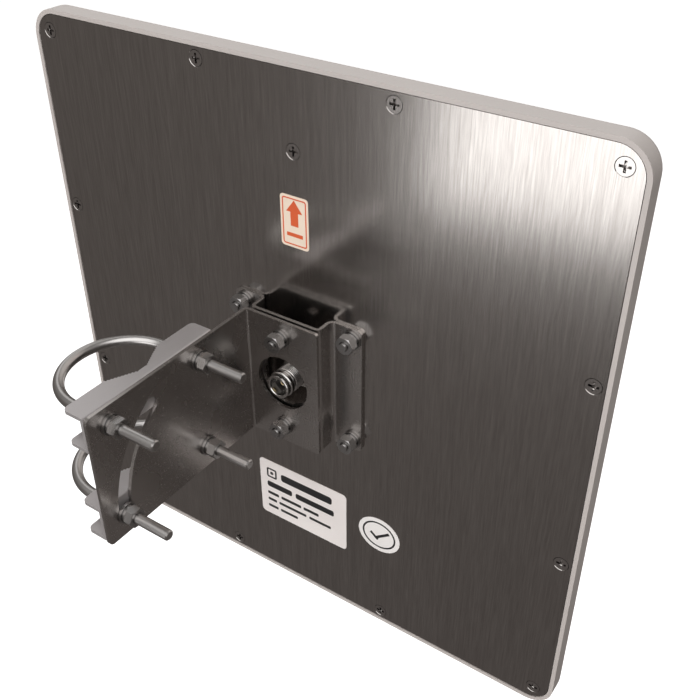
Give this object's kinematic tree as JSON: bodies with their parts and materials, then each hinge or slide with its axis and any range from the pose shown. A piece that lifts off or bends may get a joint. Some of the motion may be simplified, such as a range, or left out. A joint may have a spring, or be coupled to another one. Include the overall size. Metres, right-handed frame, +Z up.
{
  "type": "panel antenna",
  "caption": "Flat square panel antenna with a plastic cover, a metal back plate, a threaded connector and a tilting bracket that clamps to a mast with two U-bolts.",
  "frame": {"origin": "on the mast's axis, level with the lower U-bolt", "axes": "+X from the mast to the panel's centre, +Y the way the antenna looks, +Z up along the mast"},
  "size_m": [0.36, 0.1524, 0.36],
  "materials": {
    "cover_plastic": "satin, warm white",
    "gasket_rubber": "matt black",
    "plate_aluminium": "brushed, lines along Z",
    "stainless_screws": "bright",
    "patch_aluminium": "plain sheet",
    "nylon": "natural nylon",
    "connector_nickel": "nickel plated",
    "connector_ptfe": "satin",
    "contact_gold": "gold flash",
    "bracket_stainless": "satin, sheared edges bright",
    "jaw_steel": "satin, slightly pink grey",
    "fastener_stainless": "bright",
    "rod_stainless": "bright drawn rod",
    "label_paper": "printed film"
  },
  "bodies": {
    "mast_clamp": {"lower_jaw": "jaw_steel", "lower_flat_washers": "fastener_stainless", "lower_spring_washers": "fastener_stainless", "lower_nuts": "fastener_stainless"},
    "lower_rod": {"lower_u_bolt": "rod_stainless"},
    "antenna": {"radome_cover": "cover_plastic", "gasket": "gasket_rubber", "back_plate": "plate_aluminium", "panel_screws": "stainless_screws", "earth_screw": "stainless_screws", "earth_clinch_nut": "stainless_screws", "radiator_sheet": "patch_aluminium", "radiator_posts": "nylon", "connector_body": "connector_nickel", "connector_insulator": "connector_ptfe", "connector_contact": "contact_gold", "connector_lock_washer": "connector_nickel", "connector_nut": "connector_nickel", "hat_bracket": "bracket_stainless", "flange_bolts": "fastener_stainless", "flange_flat_washers": "fastener_stainless", "flange_spring_washers": "fastener_stainless", "flange_nuts": "fastener_stainless", "crown_bolts": "fastener_stainless", "crown_spacers": "fastener_stainless", "crown_flat_washers": "fastener_stainless", "crown_spring_washers": "fastener_stainless", "crown_nuts": "fastener_stainless", "tilt_bracket": "bracket_stainless", "upper_jaw": "jaw_steel", "upper_flat_washers": "fastener_stainless", "upper_spring_washers": "fastener_stainless", "upper_nuts": "fastener_stainless", "up_label": "label_paper", "data_label": "label_paper", "inspection_sticker": "label_paper"},
    "upper_rod": {"upper_u_bolt": "rod_stainless"}
  },
  "joints": [
    {"name": "tilt", "type": "hinge", "parent": "mast_clamp", "child": "antenna", "pos_m": [0.0302, 0.03225, 0], "axis": [1, 0, 0], "range_deg": [0, 28]},
    {"name": "lower_rod_slide", "type": "slide", "parent": "mast_clamp", "child": "lower_rod", "axis": [1, 0, 0], "range_m": [-0.015, 0.015]},
    {"name": "upper_rod_slide", "type": "slide", "parent": "antenna", "child": "upper_rod", "axis": [1, 0, 0], "range_m": [-0.015, 0.015]}
  ]
}
